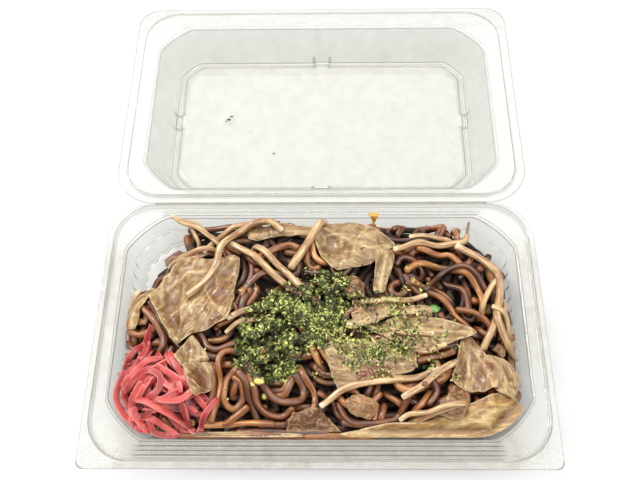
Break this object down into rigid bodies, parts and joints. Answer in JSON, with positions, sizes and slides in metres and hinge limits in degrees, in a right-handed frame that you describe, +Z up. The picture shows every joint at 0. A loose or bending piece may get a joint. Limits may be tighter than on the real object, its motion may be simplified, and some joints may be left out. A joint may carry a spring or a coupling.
{
  "type": "yakisoba in a clear hinged food pack",
  "caption": "Fried noodles with pickled ginger, cabbage, pork and bean sprouts in a clear plastic pack whose hinged lid lies open beside the tray.",
  "frame": {"origin": "centre of the tray's flat underside, on the table", "axes": "+Z up, +Y from the tray towards the open lid, +X to the right with the lid at the back"},
  "size_m": [0.2, 0.251, 0.0323],
  "materials": {
    "clear_plastic": "glossy thin clear formed plastic",
    "fried_noodle": "oily brown, sauce coated",
    "pickled_ginger": "wet, translucent pink red",
    "cooked_cabbage": "soft, lightly oiled, stained with sauce",
    "fried_pork": "browned, lightly oiled",
    "bean_sprout": "translucent, lightly oiled"
  },
  "bodies": {
    "tray": {"bean_sprout_01": "bean_sprout", "bean_sprout_02": "bean_sprout", "bean_sprout_03": "bean_sprout", "bean_sprout_04": "bean_sprout", "bean_sprout_05": "bean_sprout", "bean_sprout_06": "bean_sprout", "bean_sprout_07": "bean_sprout", "bean_sprout_08": "bean_sprout", "bean_sprout_09": "bean_sprout", "bean_sprout_10": "bean_sprout", "bean_sprout_11": "bean_sprout", "bean_sprout_12": "bean_sprout", "bean_sprout_13": "bean_sprout", "bean_sprout_14": "bean_sprout", "bean_sprout_15": "bean_sprout", "bean_sprout_16": "bean_sprout", "bean_sprout_17": "bean_sprout", "cabbage_01": "cooked_cabbage", "cabbage_02": "cooked_cabbage", "cabbage_03": "cooked_cabbage", "cabbage_04": "cooked_cabbage", "cabbage_05": "cooked_cabbage", "cabbage_06": "cooked_cabbage", "cabbage_07": "cooked_cabbage", "cabbage_08": "cooked_cabbage", "cabbage_09": "cooked_cabbage", "cabbage_10": "cooked_cabbage", "cabbage_11": "cooked_cabbage", "cabbage_strip_1": "cooked_cabbage", "cabbage_strip_2": "cooked_cabbage", "cabbage_strip_3": "cooked_cabbage", "noodles": "fried_noodle", "pickled_ginger": "pickled_ginger", "pork_1": "fried_pork", "pork_2": "fried_pork", "pork_3": "fried_pork", "pork_4": "fried_pork", "pork_5": "fried_pork", "pork_6": "fried_pork", "tray": "clear_plastic"},
    "lid": {"lid": "clear_plastic"}
  },
  "joints": [
    {"name": "lid_hinge", "type": "hinge", "parent": "tray", "child": "lid", "pos_m": [0, 0.063, 0.02015], "axis": [1, 0, 0], "range_deg": [0, 180]}
  ]
}
